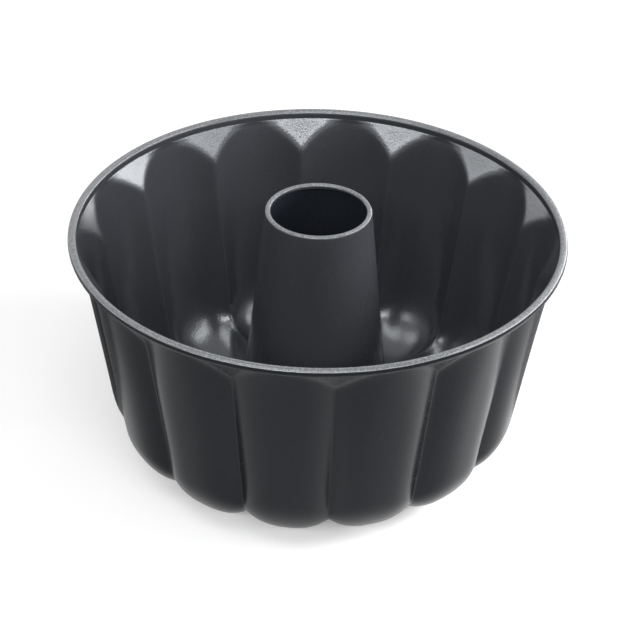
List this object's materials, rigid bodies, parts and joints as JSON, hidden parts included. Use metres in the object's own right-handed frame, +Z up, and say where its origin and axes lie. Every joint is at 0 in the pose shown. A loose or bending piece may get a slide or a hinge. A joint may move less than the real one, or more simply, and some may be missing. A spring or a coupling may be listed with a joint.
{
  "type": "fluted tube pan",
  "caption": "Round fluted cake pan of dark coated sheet with a rolled rim, arched shoulder, rounded floor and a tapered open tube in the middle.",
  "frame": {"origin": "on the pan's axis, in the plane of the table that it stands on", "axes": "+Z up along the middle tube's axis, +X out through the crest of a flute, +Y out through a valley"},
  "size_m": [0.2198, 0.22, 0.1215],
  "materials": {
    "shell_coating": "dark grey satin non-stick coating on steel sheet",
    "tube_coating": "dark grey satin non-stick coating on steel sheet",
    "wire_steel": "bare drawn steel wire, hidden in the rolled rim"
  },
  "bodies": {
    "root": {"fluted_shell": "shell_coating", "center_tube": "tube_coating", "rim_wire": "wire_steel"}
  },
  "joints": []
}
